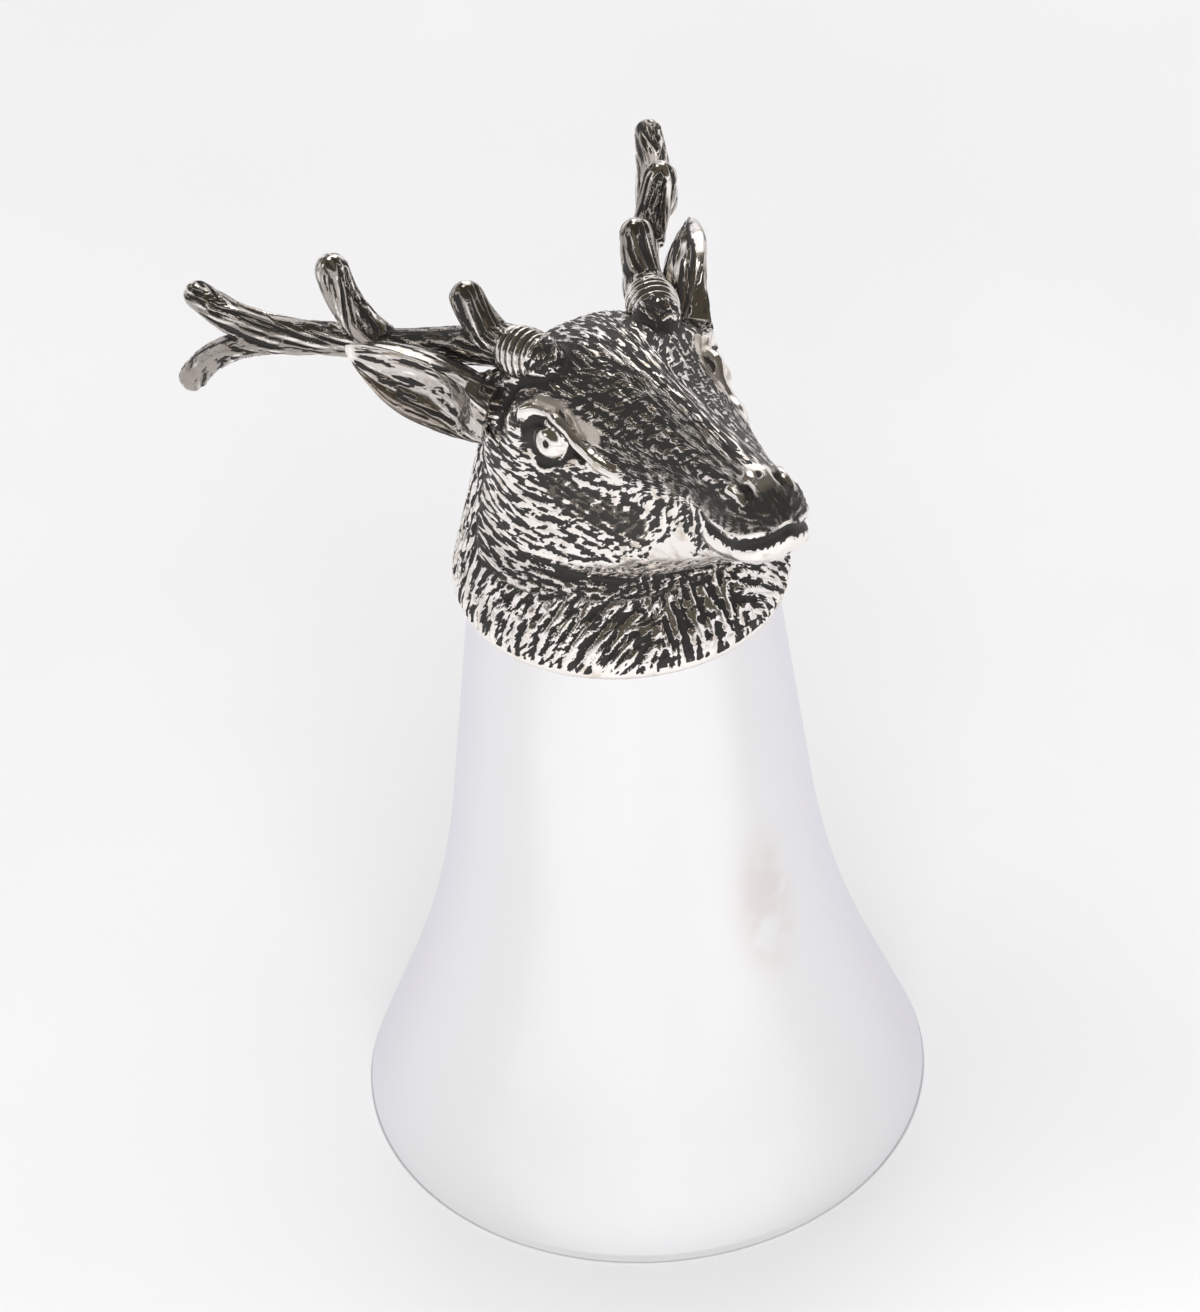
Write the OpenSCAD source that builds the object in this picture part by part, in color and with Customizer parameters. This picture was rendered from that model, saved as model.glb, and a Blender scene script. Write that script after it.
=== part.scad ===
/* [Cup] */
// Outer diameter of the rim that the cup stands on
rim_d = 70; // [66:0.5:76]
// Height from the rim to the outside of the closed end
cup_h = 82; // [76:0.5:90]
// Outer diameter at the closed end, before its corner is rounded
end_d = 34.7; // [33:0.1:36]
// Thickness of the spun wall
wall = 1.1; // [0.7:0.05:1.6]
// Slope of the flare at the rim, measured from the axis
flare_angle = 21.4; // [19:0.1:25]
// Slope of the upper taper, measured from the axis
taper_angle = 6.7; // [5:0.1:7.5]
// Radius of the sweep between the flare and the taper
sweep_r = 128; // [80:1:150]
// Outside rounding of the closed end's corner
end_round = 1.6; // [1.2:0.1:2.4]

/* [Ruff and neck] */
// How far the ruff of hair stands out past the cup's wall
ruff_out = 1.84; // [1.4:0.02:2.8]
// How far the ruff reaches down over the cup's closed end
ruff_lap = 3.5; // [2.6:0.1:4]
// Height of the neck, from the ruff's lower edge to its top inside the skull
neck_h = 32; // [29:0.5:34]
// How far the neck leans back as it rises
neck_lean = 3.7; // [2:0.1:4.5]
// Gap between the ruff and the cup's end
seat_gap = 0.1; // [0.05:0.05:0.2]
// Leg of the solder fillet under the ruff's edge
solder_leg = 0.7; // [0.4:0.05:1]

/* [Head] */
// Length from the back of the jaw to the tip of the nose
head_len = 48; // [45:0.5:52]
// Width across the cheeks
cheek_w = 27; // [25:0.5:29]
// Height of the crown above the head's middle line
crown_h = 13.4; // [12.4:0.1:14.4]
// Depth of the jaw below the head's middle line
jaw_d = 14; // [13:0.1:15]
// Upward tilt of the head's middle line towards the nose
head_tilt = 15; // [10:0.5:18]
// Height of the middle line's back end above the ruff's lower edge
head_lift = 18.1; // [17:0.1:19]
// Distance of the middle line's back end behind the cup's axis
head_back = 9.3; // [8:0.1:10.5]
// Diameter of the eyeball
eye_d = 4.8; // [4.2:0.1:5.4]
// Thickness of the eyelids
lid_d = 0.6; // [0.4:0.05:0.8]
// Width of the line between the lips
mouth_w = 0.9; // [0.6:0.05:1.2]
// Depth of the line between the lips
mouth_depth = 0.6; // [0.3:0.05:0.9]
// Width of a nostril
nostril_d = 1.1; // [0.8:0.1:1.5]

/* [Antlers] */
// Sideways reach of an antler from its burr to its upper fork
antler_spread = 21.7; // [19:0.1:25]
// Reach of an antler behind its burr
antler_sweep = 39; // [36:0.1:44]
// Drop of the beam below the burr
antler_drop = 7.6; // [6:0.1:9]
// Thickness of the beam at its root
beam_d = 5.2; // [4.6:0.1:5.8]
// Thickness of the brow tine
brow_d = 4.5; // [3.8:0.1:5]
// Thickness of the middle tine
tine_d = 4.2; // [3.4:0.1:4.6]
// Thickness of the lower branch of the fork at its root
fork_d = 3; // [2.4:0.1:3.4]
// Reach of the brow tine
brow_len = 7; // [6:0.1:9]
// Reach of the right antler's middle tine
middle_len = 10.5; // [8:0.1:12]
// Reach of the left antler's middle tine
left_middle_len = 7.6; // [7:0.1:12]
// Reach of the lower branch of the fork
fork_len = 26.4; // [24:0.1:29]
// Diameter of the ribbed burr
burr_d = 6.2; // [5.9:0.1:6.8]
// Length of the burr
burr_len = 5; // [4:0.1:6]
// Number of ribs round the burr
burr_ribs = 5; // [4:1:7]
// Diameter of the spigot under the burr
spigot_d = 3; // [2.4:0.1:3.6]
// Depth of the antler's socket in the skull
socket_depth = 4; // [3:0.1:5]
// How the stag's left antler is set against the right one: tipped back
left_tip = 2.2; // [-6:0.1:6]
// Rolled outwards
left_roll = 4; // [-6:0.1:6]
// Turned about the upright
left_turn = -1.4; // [-6:0.1:6]

/* [Ears] */
// Length of an ear from its root to its tip
ear_len = 19; // [17:0.1:21]
// Width of an ear across its widest part
ear_w = 9.6; // [8.5:0.1:10.5]
// Thickness of the ear's leaf
ear_wall = 1.1; // [0.8:0.05:1.4]
// Diameter of the peg at the ear's root
ear_peg_d = 2.4; // [1.8:0.1:2.8]
// Depth of the peg's hole in the head
ear_peg_len = 3; // [2:0.1:3.6]
// Radial gap of the spigots and pegs in their holes
fit_gap = 0.1; // [0.05:0.05:0.2]

/* [Hidden] */
pewter = "gainsboro";
antiqued = "slategray";
round_fn = 96;

// Levels and radii that the cup shares with the head
rim_r = rim_d / 2;
end_r = end_d / 2;
ruff_z = cup_h - ruff_lap;
function taper_r(z) = end_r + (cup_h - z) * tan(taper_angle);
ruff_r = taper_r(ruff_z) + ruff_out;
skull = [0, head_back, ruff_z + head_lift];
ahead = [0, -cos(head_tilt), sin(head_tilt)];
above = [0, sin(head_tilt), cos(head_tilt)];
aside = [1, 0, 0];

// The head along its middle line, as shares of its length, half width, crown and jaw,
// with how much fuller the section is towards the jaw, how round the crown is, from a roof
// to a dome, and how far the cheek's crest is lifted above the middle line
face = [
    [0.00, 0.98, 0.82, 0.70, 0.46, 2.40, 0.00],
    [0.08, 1.01, 0.93, 0.81, 0.48, 2.40, 0.00],
    [0.16, 1.01, 0.98, 0.90, 0.46, 2.40, 0.00],
    [0.24, 0.97, 1.00, 0.96, 0.42, 2.40, 0.01],
    [0.32, 0.88, 0.97, 1.00, 0.32, 2.20, 0.05],
    [0.40, 0.79, 0.90, 0.98, 0.16, 1.80, 0.14],
    [0.50, 0.67, 0.80, 0.86, 0.04, 1.45, 0.20],
    [0.62, 0.53, 0.69, 0.70, 0.00, 1.40, 0.17],
    [0.74, 0.41, 0.57, 0.53, 0.00, 1.50, 0.14],
    [0.86, 0.34, 0.45, 0.39, 0.00, 1.90, 0.08],
    [1.00, 0.31, 0.30, 0.33, 0.00, 2.20, 0.00]
];
jaw_power = 3.2;
crown_taper = 0.16;
nose_from = 0.89;
back_to = 0.10;
face_rings = 40;
jaw_points = 9;
crown_points = 13;

// Swellings and hollows: along, across and up, then spread and height as shares of the crown
relief = [
    [0.27, 0.94, 0.58, 0.190, 0.200],
    [0.36, 0.90, 0.32, 0.164, -0.070],
    [0.20, 1.04, -0.20, 0.336, 0.045],
    [0.91, 0.34, 0.04, 0.179, 0.037]
];

// The neck from the ruff's edge upwards: share of its height, radius and lean
neck = [
    [0.00, 0.985, 0.00],
    [0.06, 1.000, 0.00],
    [0.14, 0.960, 0.14],
    [0.23, 0.890, 0.42],
    [0.36, 0.805, 0.72],
    [0.52, 0.720, 0.94],
    [0.64, 0.660, 1.00],
    [0.80, 0.470, 0.83],
    [0.92, 0.275, 0.83],
    [1.00, 0.100, 0.83]
];
neck_rings = 14;
neck_sides = 60;

// Smooth curve through a table: column c at place x of column 0
function slope(t, c, i) =
    let (a = max(i - 1, 0), b = min(i + 1, len(t) - 1))
    (t[b][c] - t[a][c]) / (t[b][0] - t[a][0]);
function span(t, x, i = 0) = i >= len(t) - 2 || x < t[i + 1][0] ? i : span(t, x, i + 1);
function curve(t, c, x) =
    let (
        i = span(t, x),
        h = t[i + 1][0] - t[i][0],
        k = (x - t[i][0]) / h,
        bend = k * (1 - k)
    )
    t[i][c] + (t[i + 1][c] - t[i][c]) * k * k * (3 - 2 * k)
    + h * bend * (slope(t, c, i) * (1 - k) - slope(t, c, i + 1) * k);

function unit(v) = v / norm(v);
function middle(r) = [for (k = [0:2]) let (s = [for (p = r) p[k]]) s * [for (p = r) 1] / len(r)];
function power(v, e) = sign(v) * pow(abs(v), e);

// A closed solid through a list of rings, each with the same number of points
module skin(rings) {
    n = len(rings);
    m = len(rings[0]);
    sides = [
        for (j = [0:n - 2], i = [0:m - 1])
            let (a = j * m + i, b = j * m + (i + 1) % m)
            each [[a, b, b + m], [a, b + m, a + m]]
    ];
    ends = [
        for (i = [0:m - 1])
            let (j = (i + 1) % m, top = (n - 1) * m)
            each [[n * m, j, i], [n * m + 1, top + i, top + j]]
    ];
    polyhedron(
        concat([for (r = rings) each r], [middle(rings[0]), middle(rings[n - 1])]),
        concat(sides, ends),
        convexity = 8
    );
}

// Cup: a straight flare and a straight taper joined by one arc
cross_z = (rim_r - end_r - cup_h * tan(taper_angle)) / (tan(flare_angle) - tan(taper_angle));
cross_r = rim_r - cross_z * tan(flare_angle);
sweep_half = (flare_angle - taper_angle) / 2;
sweep_run = min(sweep_r * tan(sweep_half), 0.9 * cross_z / cos(flare_angle));
sweep_used = sweep_run / tan(sweep_half);
sweep_low = [cross_r + sweep_run * sin(flare_angle), cross_z - sweep_run * cos(flare_angle)];
sweep_mid = sweep_low + sweep_used * [cos(flare_angle), sin(flare_angle)];
sweep_steps = 16;
corner_steps = 6;

// Outline from the rim to the axis, moved in by d
function cup_side(d) = [
    for (k = [0:sweep_steps])
        let (a = flare_angle + (taper_angle - flare_angle) * k / sweep_steps)
        sweep_mid - (sweep_used + d) * [cos(a), sin(a)]
];
function cup_corner(d) =
    let (
        r = end_round - d,
        z = cup_h - end_round,
        c = taper_r(z) - end_round / cos(taper_angle)
    )
    [for (k = [0:corner_steps]) let (a = taper_angle + (90 - taper_angle) * k / corner_steps)
        [c + r * cos(a), z + r * sin(a)]];
function cup_outline(d) = concat(
    [[rim_r - d / cos(flare_angle), 0]],
    cup_side(d),
    cup_corner(d),
    [[0, cup_h - d]]
);

module cup_shell() {
    inner = cup_outline(wall);
    color(pewter)
    rotate_extrude($fn = round_fn)
    polygon(concat(cup_outline(0), [for (i = [len(inner) - 1:-1:0]) inner[i]]));
}

// Fillet of solder in the corner between the cup and the ruff's underside
module solder_seam() {
    color(pewter)
    rotate_extrude($fn = round_fn)
    polygon([
        [taper_r(ruff_z), ruff_z],
        [taper_r(ruff_z) + solder_leg, ruff_z],
        [taper_r(ruff_z - solder_leg), ruff_z - solder_leg]
    ]);
}

// Head: superellipse sections whose ends close in a rounded nose and jaw
function on_head(along, across, up) =
    skull + along * head_len * ahead + across * cheek_w / 2 * aside + up * crown_h * above;
function nose_close(f) = f < nose_from ? 1 : sqrt(1 - pow((f - nose_from) / (1 - nose_from), 2));
function back_close(f) = f > back_to ? 1 : pow(1 - pow(1 - f / back_to, 2.5), 0.4);
function swell(p) =
    let (q = [abs(p.x), p.y, p.z])
    [for (b = relief) b[4] * exp(-pow(norm(q - on_head(b[0], b[1], b[2])) / (b[3] * crown_h), 2) / 2)]
    * [for (b = relief) crown_h];
function face_mid(f) =
    skull + f * head_len * ahead + nose_close(f) * back_close(f) * crown_h * curve(face, 6, f) * above;
function face_point(f, a) =
    let (
        up = sin(a) >= 0,
        e = nose_close(f) * back_close(f),
        n = up ? curve(face, 5, f) : jaw_power,
        v = power(sin(a), 2 / n),
        lift = crown_h * curve(face, 6, f),
        h = e * (up ? crown_h * curve(face, 2, f) - lift : jaw_d * curve(face, 3, f) + lift),
        full = up ? crown_taper : curve(face, 4, f),
        w = e * cheek_w / 2 * curve(face, 1, f) * (1 - full * v * abs(v)),
        out = w * power(cos(a), 2 / n) * aside + h * v * above,
        p = face_mid(f) + out
    )
    p + unit(out) * swell(p);

// Each ring has a point on the line of the lips, sunk from the corner of the mouth forward
lip_angle = -27;
lip_spread = 94 * mouth_w / crown_h;
mouth_from = 0.77;
mouth_full = 0.83;
side_angles = concat(
    [for (k = [0:jaw_points - 1]) -90 + (lip_angle - lip_spread + 90) * k / (jaw_points - 1)],
    [lip_angle],
    [for (k = [0:crown_points - 1])
        lip_angle + lip_spread + (90 - lip_angle - lip_spread) * k / (crown_points - 1)]
);
function mouth_sink(f, a) =
    a != lip_angle ? 0 : mouth_depth * nose_close(f)
    * min(max((f - mouth_from) / (mouth_full - mouth_from), 0), 1);
function face_side(f) = [
    for (a = side_angles)
        let (p = face_point(f, a))
        p - mouth_sink(f, a) * unit(p - face_mid(f))
];
function face_ring(f) =
    let (side = face_side(f), n = len(side))
    concat(
        [for (i = [n - 1:-1:0]) side[i]],
        [for (i = [1:n - 2]) [-side[i].x, side[i].y, side[i].z]]
    );

module face_form() {
    first = 0.01;
    last = 0.985;
    skin([
        for (j = [0:face_rings])
            face_ring((1 - cos(180 * (first + (last - first) * j / face_rings))) / 2)
    ]);
}

module neck_form() {
    skin([
        for (j = [0:neck_rings])
            let (
                t = j / neck_rings,
                r = ruff_r * curve(neck, 1, t),
                y = neck_lean * curve(neck, 2, t)
            )
            [for (i = [0:neck_sides - 1]) let (a = -360 * i / neck_sides)
                [r * cos(a), y + r * sin(a), ruff_z + neck_h * t]]
    ]);
}

// A bead drawn along a list of points
module bead(points, d) {
    for (i = [0:len(points) - 2])
        hull() {
            translate(points[i]) sphere(d = d, $fn = 6);
            translate(points[i + 1]) sphere(d = d, $fn = 6);
        }
}

// Eyes: a ball under a mound of lid with an almond opening
eye_at = on_head(0.337, 0.722, 0.361);
eye_out = unit([1, -0.3, 0.25]);
eye_long = unit(cross(eye_out, cross(ahead, eye_out)));
eye_tall = cross(eye_long, eye_out);
almond_long = 0.92;
almond_tall = 0.66;
eye_place = [for (k = [0:2]) [eye_long[k], eye_tall[k], eye_out[k], eye_at[k]]];

module eye() {
    multmatrix(eye_place) {
        difference() {
            sphere(d = eye_d + 2 * lid_d, $fn = 26);
            scale([almond_long, almond_tall, 1]) cylinder(d = eye_d, h = eye_d, $fn = 22);
        }
        sphere(d = eye_d, $fn = 20);
    }
}

// Nostrils cut into the muzzle
nostril_line = [[0.915, 66], [0.932, 60], [0.944, 50], [0.948, 38], [0.940, 27]];
nostril_rise = 0.13 * nostril_d;
module nostril() {
    bead([for (q = nostril_line) face_point(q[0], q[1]) + nostril_rise * above], nostril_d);
}

// Antlers: where a burr sits on the skull and the way its antler leaves it
burr_at = on_head(0.17, 0.615, 0.92);
burr_way = unit([0.31, 0.94, -0.14]);
burr_turn = [0, acos(burr_way.z), atan2(burr_way.y, burr_way.x)];
antler_box = [antler_spread, antler_sweep, antler_drop];

// The beam from the burr: place along it, then shares of its spread, sweep and drop
beam_path = [
    [0.00, 0.00, 0.00, 0.00],
    [0.12, 0.06, 0.10, -0.08],
    [0.26, 0.18, 0.23, -0.34],
    [0.42, 0.36, 0.39, -0.58],
    [0.56, 0.55, 0.53, -0.70],
    [0.72, 0.74, 0.70, -0.97],
    [0.87, 0.90, 0.86, -0.99],
    [1.00, 1.01, 1.00, -0.80]
];
beam_girth = [
    [0.00, 1.00],
    [0.12, 1.00],
    [0.30, 0.80],
    [0.45, 0.62],
    [0.56, 0.68],
    [0.76, 0.86],
    [0.90, 0.78],
    [1.00, 0.66]
];
beam_start = 0.02;
beam_steps = 16;
beam_sides = 20;
tine_steps = 6;
tine_sides = 15;
flutes = 5;
flute_depth = 0.06;

function beam_point(t) = [for (k = [0:2]) antler_box[k] * curve(beam_path, k + 1, t)];
function limb_ring(p, way, r, n) =
    let (u = unit(cross(way, aside)), v = cross(u, way))
    [for (i = [0:n - 1])
        let (a = 360 * i / n)
        p + r * (1 + flute_depth * cos(flutes * a)) * (cos(a) * u + sin(a) * v)];

// A fluted limb through points with radii, rounded at its end
module limb(points, radii, sides) {
    n = len(points) - 1;
    way = [for (i = [0:n]) unit(points[min(i + 1, n)] - points[max(i - 1, 0)])];
    skin(concat(
        [for (i = [0:n]) limb_ring(points[i], way[i], radii[i], sides)],
        [for (a = [30, 60, 80])
            limb_ring(points[n] + radii[n] * sin(a) * way[n], way[n], radii[n] * cos(a), sides)]
    ));
}

// A tine that leaves its root along its way, bends as it goes and tapers
module tine(root, way, bend, curl, reach, d, taper) {
    places = [for (k = [0:tine_steps]) k / tine_steps];
    limb(
        [for (s = places) root + reach * (s * unit(way) + pow(s, curl) * bend)],
        [for (s = places) d / 2 * (1 - taper * s)],
        tine_sides
    );
}

// Ribbed collar, largest at its middle
module burr() {
    rib = burr_len / burr_ribs;
    rib_rise = 0.35 * rib;
    barrel = 0.08 * burr_d;
    translate([0, 0, -burr_len / 2])
    rotate_extrude($fn = round_fn)
    polygon(concat(
        [[0, 0]],
        [for (i = [0:burr_ribs - 1], k = [0:4])
            let (s = (i + (k + 0.5) / 5) / burr_ribs)
            [burr_d / 2 - rib_rise * (1 - sin(36 * k + 18)) - barrel * pow(2 * s - 1, 2), burr_len * s]],
        [[0, burr_len]]
    ));
}

// The spigot runs from the burr's foot down the middle of the pedicle
burr_foot = -burr_len / 2 * burr_way;
pedicle_root = on_head(0.25, 0.45, 0.70) - burr_at;
peg_way = unit(pedicle_root - burr_foot);
peg_turn = [0, acos(peg_way.z), atan2(peg_way.y, peg_way.x)];
peg_lap = 0.3 * burr_len;
module spigot(d, h) {
    translate(burr_foot) rotate(peg_turn) translate([0, 0, -peg_lap])
    cylinder(d = d, h = h + peg_lap, $fn = 32);
}

module antler(middle) {
    places = [for (k = [0:beam_steps]) beam_start + (1 - beam_start) * k / beam_steps];
    strand = [0, 0, -0.32 * fork_d];
    rotate(burr_turn) burr();
    spigot(spigot_d, socket_depth - fit_gap);
    limb(
        [for (t = places) beam_point(t)],
        [for (t = places) beam_d / 2 * curve(beam_girth, 1, t)],
        beam_sides
    );
    tine(beam_point(0.10), [0.25, 0.93, 0.20], [-0.04, -0.20, 0.38], 2, brow_len, brow_d, 0.10);
    tine(beam_point(0.47), [0.50, 0.65, 0.50], [-0.15, -0.35, 0.37], 2, middle, tine_d, 0.05);
    tine(beam_point(0.54) + strand, [0.58, 0.80, -0.14], [-0.10, -0.11, -0.25], 3, fork_len, fork_d, -0.16);
}

module on_right() {
    mirror([1, 0, 0]) translate(burr_at) children();
}

module on_left() {
    translate(burr_at) rotate([left_tip, left_roll, left_turn]) children();
}

module right_antler() {
    color(antiqued) on_right() antler(middle_len);
}

module left_antler() {
    color(antiqued) on_left() antler(left_middle_len);
}

// The pedicle that a burr stands on, and the cut that clears the burr and its spigot
pedicle_d = 0.9 * burr_d;
pedicle_rim = 0.2 * burr_len;
module pedicle() {
    hull() {
        rotate(burr_turn) translate([0, 0, -burr_len / 2 - pedicle_rim])
        cylinder(d = pedicle_d, h = 2 * pedicle_rim, $fn = 32);
        translate(pedicle_root) sphere(d = 0.75 * pedicle_d, $fn = 16);
    }
}

module burr_cut() {
    rotate(burr_turn) translate([0, 0, -burr_len / 2])
    cylinder(d = burr_d + 6 * fit_gap, h = 1.5 * burr_len, $fn = 32);
    spigot(spigot_d + 2 * fit_gap, socket_depth);
}

// Ears: a cupped leaf along ear_way that opens towards ear_face
ear_at = on_head(0.115, 0.86, 0.49);
ear_way = unit([0.58, 0.78, 0.18]);
ear_face = unit(cross(ear_way, cross([0.72, -0.62, -0.10], ear_way)));
ear_turn = [0, acos(ear_way.z), atan2(ear_way.y, ear_way.x)];
ear_root_d = 0.5 * ear_w;

// Along the ear: place, share of its width, half angle of the cup, how solid it is
ear_form = [
    [0.00, 0.50, 80, 1.00],
    [0.10, 0.62, 82, 0.80],
    [0.22, 0.84, 86, 0.30],
    [0.45, 1.00, 88, 0.00],
    [0.65, 0.88, 84, 0.00],
    [0.82, 0.58, 76, 0.00],
    [0.94, 0.26, 66, 0.00],
    [1.00, 0.07, 60, 0.00]
];
ear_rings = 18;
ear_arc = 10;
ear_edge = 0.4;

function ear_ring(t) =
    let (
        across = cross(ear_way, ear_face),
        w = ear_w / 2 * curve(ear_form, 1, t),
        cup = curve(ear_form, 2, t),
        r = w / sin(cup),
        deep = r * (1 - cos(cup)),
        leaf = min(ear_wall, 1.2 * w),
        thick = leaf + max(curve(ear_form, 3, t), 0) * max(deep + w - leaf, 0),
        places = [for (i = [0:ear_arc]) cup * (2 * i / ear_arc - 1)]
    )
    [for (side = [0, 1], i = [0:ear_arc])
        let (
            a = places[side == 0 ? i : ear_arc - i],
            rise = side * thick * (ear_edge + (1 - ear_edge) * cos(90 * a / cup))
        )
        ear_len * t * ear_way + r * sin(a) * across + (r * (cos(cup) - cos(a)) + deep / 2 + rise) * ear_face];

module ear() {
    translate(ear_at) {
        skin([for (j = [0:ear_rings]) ear_ring(j / ear_rings)]);
        rotate(ear_turn) translate([0, 0, fit_gap - ear_peg_len])
        cylinder(d = ear_peg_d, h = ear_peg_len, $fn = round_fn);
    }
}

module left_ear() {
    color(antiqued) ear();
}

module right_ear() {
    color(antiqued) mirror([1, 0, 0]) ear();
}

ear_boss_len = 1.25 * ear_root_d;
ear_boss_rim = 0.2 * ear_root_d;
module ear_boss() {
    translate(ear_at) rotate(ear_turn) translate([0, 0, -ear_boss_len])
    cylinder(d1 = 1.6 * ear_root_d, d2 = 1.15 * ear_root_d, h = ear_boss_len + ear_boss_rim, $fn = 32);
}

module ear_cut() {
    translate(ear_at) rotate(ear_turn) {
        cylinder(d = 1.3 * ear_root_d, h = ear_len / 2, $fn = 32);
        translate([0, 0, -ear_peg_len])
        cylinder(d = ear_peg_d + 2 * fit_gap, h = ear_peg_len + ear_boss_rim, $fn = 32);
    }
}

// The seat is the cup's own end with the gap all round
module cup_seat() {
    rotate_extrude($fn = neck_sides)
    polygon(concat(
        [[0, ruff_z - solder_leg], [taper_r(ruff_z - solder_leg) + seat_gap, ruff_z - solder_leg]],
        cup_corner(-seat_gap),
        [[0, cup_h + seat_gap]]
    ));
}

module both_sides() {
    children();
    mirror([1, 0, 0]) children();
}

module head_casting() {
    color(antiqued)
    difference() {
        union() {
            neck_form();
            face_form();
            both_sides() {
                eye();
                ear_boss();
            }
            on_right() pedicle();
            on_left() pedicle();
        }
        both_sides() {
            nostril();
            ear_cut();
        }
        on_right() burr_cut();
        on_left() burr_cut();
        cup_seat();
    }
}

cup_shell();
solder_seam();
head_casting();
right_antler();
left_antler();
right_ear();
left_ear();
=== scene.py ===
import math

import bmesh
import bpy
import numpy as np
from mathutils import Matrix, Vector
from mathutils.bvhtree import BVHTree


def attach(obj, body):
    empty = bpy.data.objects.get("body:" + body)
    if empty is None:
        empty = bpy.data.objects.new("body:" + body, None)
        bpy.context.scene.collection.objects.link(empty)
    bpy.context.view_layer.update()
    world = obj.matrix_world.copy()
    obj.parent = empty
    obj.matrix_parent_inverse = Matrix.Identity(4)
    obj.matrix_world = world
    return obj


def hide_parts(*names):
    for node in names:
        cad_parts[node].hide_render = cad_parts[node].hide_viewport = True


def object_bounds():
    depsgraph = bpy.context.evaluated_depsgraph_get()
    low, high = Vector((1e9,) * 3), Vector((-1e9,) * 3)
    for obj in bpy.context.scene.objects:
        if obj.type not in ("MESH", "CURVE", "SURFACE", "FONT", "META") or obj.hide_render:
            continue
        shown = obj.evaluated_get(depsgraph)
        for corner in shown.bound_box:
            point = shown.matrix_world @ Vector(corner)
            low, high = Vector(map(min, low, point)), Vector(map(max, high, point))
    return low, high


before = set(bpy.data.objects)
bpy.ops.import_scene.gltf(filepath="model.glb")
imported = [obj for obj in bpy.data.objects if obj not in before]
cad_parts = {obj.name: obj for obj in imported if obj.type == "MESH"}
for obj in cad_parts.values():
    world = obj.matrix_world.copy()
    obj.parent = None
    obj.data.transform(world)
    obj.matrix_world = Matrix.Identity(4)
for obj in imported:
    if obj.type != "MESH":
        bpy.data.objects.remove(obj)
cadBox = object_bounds()
print("frame loaded")

mm = 0.001  # forms are worked out in millimetres and scaled as their meshes are made


# small tools for curves, lofts and castings

def curveAt(table, column, x):
    t = np.asarray(table, float)
    xs, v = t[:, 0], t[:, column]
    slope = np.gradient(v)
    slope[1:-1] = (v[2:] - v[:-2]) / (xs[2:] - xs[:-2])
    slope[0] = (v[1] - v[0]) / (xs[1] - xs[0])
    slope[-1] = (v[-1] - v[-2]) / (xs[-1] - xs[-2])
    i = np.clip(np.searchsorted(xs, x, side="right") - 1, 0, len(xs) - 2)
    h = xs[i + 1] - xs[i]
    k = (x - xs[i]) / h
    bend = h * k * (1 - k) * (slope[i] * (1 - k) - slope[i + 1] * k)
    return v[i] + (v[i + 1] - v[i]) * k * k * (3 - 2 * k) + bend


def unit(v):
    v = np.asarray(v, float)
    return v / np.maximum(np.linalg.norm(v, axis=-1, keepdims=True), 1e-9)


def smooth(a, b, x):
    k = np.clip((x - a) / (b - a), 0, 1)
    return k * k * (3 - 2 * k)


def loft(rings):
    rings = np.asarray(rings, float)
    n, m, _ = rings.shape
    a = (np.arange(n - 1)[:, None] * m + np.arange(m)[None]).ravel()
    b = (np.arange(n - 1)[:, None] * m + (np.arange(m)[None] + 1) % m).ravel()
    faces = np.stack([a, b, b + m, a + m], 1).tolist()
    first, last = n * m, n * m + 1
    for i in range(m):
        j = (i + 1) % m
        faces.append([first, j, i])
        faces.append([last, (n - 1) * m + i, (n - 1) * m + j])
    caps = np.stack([rings[0].mean(0), rings[-1].mean(0)])
    return np.concatenate([rings.reshape(-1, 3), caps]), faces


def ball(centre, radius, turns=24):
    a = np.linspace(0, math.pi, turns + 1)[1:-1]
    b = np.linspace(0, 2 * math.pi, 2 * turns, endpoint=False)
    ring = np.stack([np.outer(np.sin(a), np.cos(b)), np.outer(np.sin(a), np.sin(b)),
                     np.repeat(np.cos(a)[:, None], len(b), 1)], -1)
    return loft(np.asarray(centre) + radius * ring)


def mirrored(shell):
    return shell[0] * [-1, 1, 1], [f[::-1] for f in shell[1]]


def cast(name, shells, voxel):  # runs overlapping shells together into one even skin
    points, faces, count = [], [], 0
    for p, f in shells:
        points.append(p)
        faces += [[k + count for k in face] for face in f]
        count += len(p)
    mesh = bpy.data.meshes.new(name)
    mesh.from_pydata(np.concatenate(points).tolist(), [], faces)
    piece = bpy.data.objects.new(name, mesh)
    bpy.context.collection.objects.link(piece)
    melt = piece.modifiers.new("melt", "REMESH")
    melt.mode = "VOXEL"
    melt.voxel_size = voxel
    melted = bpy.data.meshes.new_from_object(piece.evaluated_get(bpy.context.evaluated_depsgraph_get()))
    piece.modifiers.remove(melt)
    piece.data = melted
    bpy.data.meshes.remove(mesh)
    melted.name = name
    return piece


def pointsOf(mesh):
    co = np.empty(len(mesh.vertices) * 3)
    mesh.vertices.foreach_get("co", co)
    return co.reshape(-1, 3)


def edgesOf(mesh):
    e = np.empty(len(mesh.edges) * 2, np.int64)
    mesh.edges.foreach_get("vertices", e)
    return e.reshape(-1, 2)


def normalsOf(mesh):
    v = np.empty(len(mesh.vertices) * 3)
    mesh.vertex_normals.foreach_get("vector", v)
    return v.reshape(-1, 3)


def setPoints(mesh, co):
    mesh.vertices.foreach_set("co", np.ascontiguousarray(co, float).ravel())
    mesh.update()


def neighbourMean(values, edges, weights):
    i, j = edges.T
    n = len(values)
    total = np.bincount(i, weights, n) + np.bincount(j, weights, n)
    summed = np.bincount(i, weights * values[j], n) + np.bincount(j, weights * values[i], n)
    return np.where(total > 1e-9, summed / np.maximum(total, 1e-9), values)


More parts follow.
